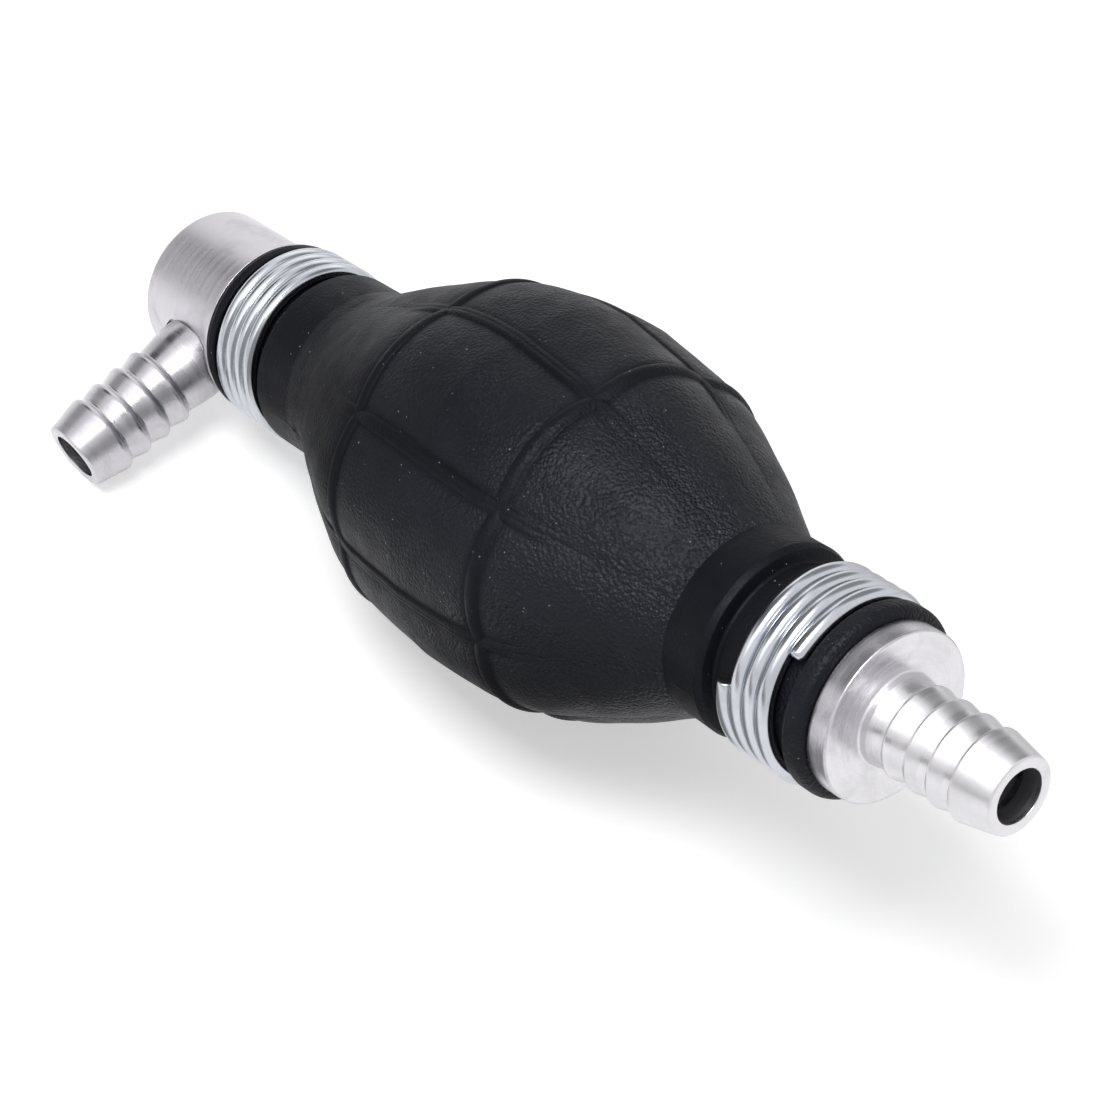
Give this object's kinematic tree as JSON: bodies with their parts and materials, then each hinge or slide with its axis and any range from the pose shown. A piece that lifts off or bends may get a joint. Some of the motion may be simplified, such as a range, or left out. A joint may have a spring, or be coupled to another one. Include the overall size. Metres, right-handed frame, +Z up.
{
  "type": "siphon bulb pump",
  "caption": "Ribbed rubber squeeze bulb that pumps liquid one way between a straight and an elbow hose fitting, with a sprung check valve in each.",
  "frame": {"origin": "middle of the pump's outline in plan, on the surface that the pump lies on", "axes": "+X from the elbow's end towards the straight hose tail, as seen in plan; +Z up. The pump's own axis is +X raised by 12.29 degrees, because the pump lies on its bulb, on the end of the elbow and on the tip of the elbow's hose tail."},
  "size_m": [0.1714, 0.0632, 0.0586],
  "materials": {
    "bulb_rubber": "matt black moulded rubber with fine grain",
    "turned_aluminium": "bright turned",
    "satin_aluminium": "satin",
    "zinc_wire": "bright zinc plate",
    "valve_brass": "turned",
    "seal_rubber": "smooth black nitrile",
    "poppet_plastic": "natural acetal",
    "spring_steel": "drawn stainless wire"
  },
  "bodies": {
    "pump": {"bulb": "bulb_rubber", "inlet_wire_clamp": "zinc_wire", "outlet_wire_clamp": "zinc_wire", "inlet_elbow_head": "satin_aluminium", "inlet_hose_tail": "turned_aluminium", "outlet_fitting": "turned_aluminium", "inlet_valve_housing": "valve_brass", "inlet_housing_seal": "seal_rubber", "inlet_valve_spring": "spring_steel", "inlet_spring_retainer": "valve_brass", "inlet_retaining_ring": "spring_steel", "outlet_valve_housing": "valve_brass", "outlet_housing_seal": "seal_rubber", "outlet_valve_spring": "spring_steel", "outlet_spring_retainer": "valve_brass", "outlet_retaining_ring": "spring_steel"},
    "inlet_valve": {"inlet_poppet": "poppet_plastic", "inlet_poppet_seal": "seal_rubber"},
    "outlet_valve": {"outlet_poppet": "poppet_plastic", "outlet_poppet_seal": "seal_rubber"}
  },
  "joints": [
    {"name": "inlet_valve_lift", "type": "slide", "parent": "pump", "child": "inlet_valve", "axis": [0.9771, 0, 0.2128], "range_m": [0, 0.0026], "stiffness_N_per_m": 25, "springref_m": -0.003, "deforming": ["inlet_valve_spring"]},
    {"name": "outlet_valve_lift", "type": "slide", "parent": "pump", "child": "outlet_valve", "axis": [0.9771, 0, 0.2128], "range_m": [0, 0.0026], "stiffness_N_per_m": 25, "springref_m": -0.003, "deforming": ["outlet_valve_spring"]}
  ]
}
